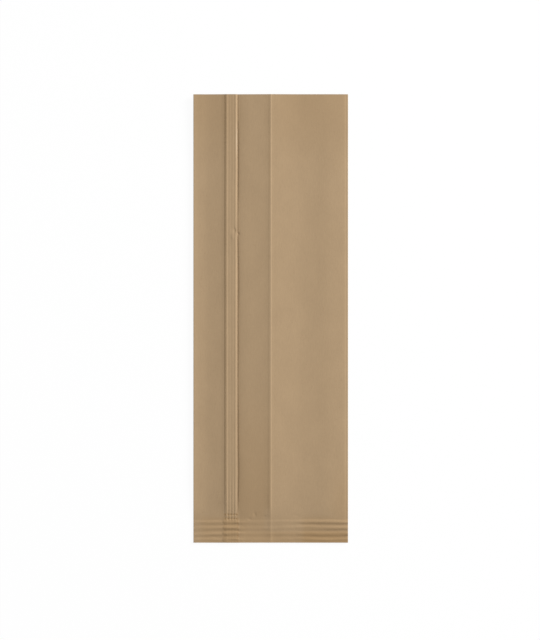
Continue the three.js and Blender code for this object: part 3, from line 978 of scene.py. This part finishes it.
def kraft_finish():
    """Unbleached brown kraft: cloudy pulp, fibres along the sheet, fine flecks, heat browning with painted
    shade, wear with painted highlight, paler cut edges, a glossier lined inside.
    """
    material = bpy.data.materials.new("kraft_laminate")
    material.use_nodes = True
    tree = material.node_tree
    surface = tree.nodes["Principled BSDF"]
    place = put(tree, "ShaderNodeTexCoord").outputs["Object"]
    clouds = stretched_noise(tree, place, CLOUD_GRAIN, 3.0)
    fibres = stretched_noise(tree, place, FIBRE_GRAIN, 4.0, 0.8)
    flecks = stretched_noise(tree, place, FLECK_GRAIN, 1.0)
    tone = calc(tree, "MULTIPLY_ADD", calc(tree, "SUBTRACT", clouds, 0.5), 0.5, 0.5)
    tone = calc(tree, "MULTIPLY_ADD", calc(tree, "SUBTRACT", fibres, 0.5), 1.1, tone)
    colour = mix_colour(tree, tone, KRAFT_DARK, KRAFT_LIGHT)
    colour = mix_colour(tree, ramp(tree, flecks, 0.66, 0.8, 0.0, FLECK_SHARE), colour, KRAFT_DEEP_BROWN)
    # Painted shade darkens the creases, the seam's sides and, with heat browning, the seal; painted
    # highlight pales the seam's free edge, the middle crease and, with wear, the side folds
    for name, most, cover in (
        ("browned_and_painted_shade", BROWNED_AND_SHADE_SHARE, KRAFT_DEEP_BROWN),
        ("wear_and_painted_highlight", RUBBED_AND_HIGHLIGHT_SHARE, KRAFT_RUBBED_AND_HIGHLIGHT),
        ("cut_edge", CORE_SHARE, KRAFT_CORE),
    ):
        colour = mix_colour(tree, calc(tree, "MULTIPLY", attribute(tree, name), most), colour, cover)
    tree.links.new(colour, surface.inputs["Base Color"])
    matt = ramp(tree, fibres, 0.3, 0.7, *PAPER_ROUGHNESS, "LINEAR")
    glossier = calc(tree, "MULTIPLY", attribute(tree, "lining"), LINING_GLOSS)
    glossier = calc(tree, "MULTIPLY_ADD", attribute(tree, "browned_and_painted_shade"), BROWNED_AND_SHADE_GLOSS, glossier)
    tree.links.new(calc(tree, "SUBTRACT", matt, glossier), surface.inputs["Roughness"])
    relief = calc(tree, "MULTIPLY_ADD", flecks, 0.5, fibres)
    bump = put(tree, "ShaderNodeBump", {"Height": relief, "Strength": 0.25, "Distance": FIBRE_RELIEF * MM})
    tree.links.new(bump.outputs[0], surface.inputs["Normal"])
    surface.inputs["Specular IOR Level"].default_value = 0.25
    return material


def film_finish():
    """Clear glossy film, faintly hazy where it has been rubbed."""
    material = bpy.data.materials.new("window_film_clear")
    material.use_nodes = True
    tree = material.node_tree
    tree.nodes.remove(tree.nodes["Principled BSDF"])
    place = put(tree, "ShaderNodeTexCoord").outputs["Object"]
    scuffs = stretched_noise(tree, place, SCUFF_GRAIN, 4.0)
    clear = put(tree, "ShaderNodeBsdfTransparent", {"Color": FILM_TINT})
    haze = put(tree, "ShaderNodeBsdfDiffuse", {"Color": FILM_HAZE})
    gloss = put(tree, "ShaderNodeBsdfGlossy", {"Color": (1, 1, 1, 1), "Roughness": 0.06})
    scuffed = ramp(tree, scuffs, 0.45, 0.75, 0.012, 0.06)
    hazy = put(tree, "ShaderNodeMixShader", {0: scuffed, 1: clear.outputs[0], 2: haze.outputs[0]})
    slant = put(tree, "ShaderNodeLayerWeight", {"Blend": 0.5}).outputs["Facing"]
    shine = calc(tree, "MULTIPLY_ADD", calc(tree, "POWER", slant, 4.0), 0.6, 0.035)
    glossy = put(tree, "ShaderNodeMixShader", {0: shine, 1: hazy.outputs[0], 2: gloss.outputs[0]})
    tree.links.new(glossy.outputs[0], tree.nodes["Material Output"].inputs["Surface"])
    return material


# Film behind the window

def film_level(x, y):
    """Flat where it is stuck to the paper, and slightly slack over the opening."""
    inside = min(window_half(y) - abs(x), y - WINDOW_LOW_Y, WINDOW_HIGH_Y - y)
    slack = 0.5 + 0.5 * noise.noise(Vector((x / 13, y / 34, 5.3)))
    return FILM_LOW.z + FILM_SWELL * slack * smoothstep(inside, 0, FILM_SWELL_REACH)


def film_pane():
    """The pane of clear film stuck inside the front, behind the window."""
    pane = SheetMesh()
    turns = [math.pi / 2 * i / FILM_CORNER_ROWS for i in range(FILM_CORNER_ROWS + 1)]
    ys = [FILM_LOW.y + FILM_CORNER * (1 - math.cos(turn)) for turn in turns]
    ys += spread(FILM_LOW.y + FILM_CORNER, FILM_HIGH.y - FILM_CORNER, WINDOW_STEP)[1:]
    ys += [FILM_HIGH.y - FILM_CORNER * (1 - math.sin(turn)) for turn in turns]
    thickness = FILM_HIGH.z - FILM_LOW.z
    low_rows = []
    high_rows = []
    for y in ys:
        half = film_half(y)
        xs = [lerp(-half, half, i / FILM_COLUMNS) for i in range(FILM_COLUMNS + 1)]
        low_rows.append(pane.row([(x, film_level(x, y)) for x in xs], y))
        high_rows.append(pane.row([(x, film_level(x, y) + thickness) for x in xs], y))
    for r in range(len(ys) - 1):
        for rows in (low_rows, high_rows):
            skin(pane, rows, r, FILM_COLUMNS + 1, (FILM_COLUMNS,))
        for i in (0, FILM_COLUMNS):
            low = (low_rows[r] + i, low_rows[r + 1] + i)
            high = (high_rows[r + 1] + i, high_rows[r] + i)
            pane.face(low + high, cut=True)
    for r in (0, len(ys) - 1):
        sheet_edge(pane, low_rows[r], high_rows[r], range(FILM_COLUMNS))
    return pane.to_object("film_pane")


# Pieces

bag = folded_sheet()
press_ribs(bag, kraft_finish())
smooth(bag)
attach(bag, "root")
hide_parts("kraft_body")

film = film_pane()
film.data.materials.append(film_finish())
smooth(film)
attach(film, "root")
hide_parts("window_film")


# Floor, light and view

def white_for_the_eye(tree):
    """1 for what the camera sees directly, in gloss or through film, and 0 for light that bounces."""
    path = put(tree, "ShaderNodeLightPath")
    seen = calc(tree, "MAXIMUM", path.outputs["Is Camera Ray"], path.outputs["Is Glossy Ray"])
    return calc(tree, "MAXIMUM", seen, path.outputs["Is Transmission Ray"])


def white_floor():
    """A pale floor that looks white and keeps the bag's shadow."""
    mesh = bpy.data.meshes.new("floor")
    half = FLOOR_HALF * MM
    corners = [(x * half, y * half, -FLOOR_DROP * MM) for x, y in ((-1, -1), (1, -1), (1, 1), (-1, 1))]
    mesh.from_pydata(corners, [], [(0, 1, 2, 3)])
    floor = bpy.data.objects.new("floor", mesh)
    bpy.context.scene.collection.objects.link(floor)
    material = bpy.data.materials.new("white_floor")
    material.use_nodes = True
    tree = material.node_tree
    tree.nodes.remove(tree.nodes["Principled BSDF"])
    matt = put(tree, "ShaderNodeBsdfDiffuse", {"Color": (0.86, 0.86, 0.86, 1)})
    bright = put(tree, "ShaderNodeEmission", {"Color": (1, 1, 1, 1), "Strength": 1.01})
    share = calc(tree, "MULTIPLY", white_for_the_eye(tree), FLOOR_WHITE_SHARE)
    seen = put(tree, "ShaderNodeMixShader", {0: share, 1: matt.outputs[0], 2: bright.outputs[0]})
    tree.links.new(seen.outputs[0], tree.nodes["Material Output"].inputs["Surface"])
    mesh.materials.append(material)


def dome():
    """Even light from all round, which looks white to the camera."""
    world = bpy.data.worlds.new("studio")
    bpy.context.scene.world = world
    world.use_nodes = True
    tree = world.node_tree
    strength = ramp(tree, white_for_the_eye(tree), 0.0, 1.0, DOME_SHARE, 1.0, "LINEAR")
    tree.links.new(strength, tree.nodes["Background"].inputs["Strength"])
    tree.nodes["Background"].inputs["Color"].default_value = (1, 1, 1, 1)


def soft_lamp(name, azimuth, elevation, distance, size, share):
    """A square lamp that lights a level white surface at the origin to a share of full white."""
    turn, rise = math.radians(azimuth), math.radians(elevation)
    towards = Vector((math.cos(turn) * math.cos(rise), math.sin(turn) * math.cos(rise), math.sin(rise)))
    lamp = bpy.data.lights.new(name, "AREA")
    lamp.size = size * MM
    lamp.energy = share * (math.pi * distance * MM) ** 2 / math.sin(rise)
    holder = bpy.data.objects.new(name, lamp)
    holder.location = towards * distance * MM
    holder.rotation_euler = towards.to_track_quat("Z", "Y").to_euler()
    bpy.context.scene.collection.objects.link(holder)


def camera_above():
    """Straight above the bag, which lies in the picture where the photograph shows it."""
    pixel = (MOUTH_Y - BOTTOM_Y) / BAG_PIXELS
    across = IMAGE_WIDTH / 2 - BAG_MIDDLE_PX[0]
    along = BAG_MIDDLE_PX[1] - IMAGE_HEIGHT / 2
    lens = bpy.data.cameras.new("camera")
    lens.sensor_width = SENSOR
    lens.lens = SENSOR * CAMERA_DISTANCE / (IMAGE_HEIGHT * pixel)
    camera = bpy.data.objects.new("camera", lens)
    camera.location = Vector((across * pixel, along * pixel, BAG_HIGH.z + CAMERA_DISTANCE)) * MM
    bpy.context.scene.collection.objects.link(camera)
    bpy.context.scene.camera = camera


white_floor()
dome()
soft_lamp("key", KEY_AZIMUTH, KEY_ELEVATION, KEY_DISTANCE, KEY_SIZE, KEY_SHARE)
camera_above()
bpy.context.scene.view_settings.view_transform = "Standard"
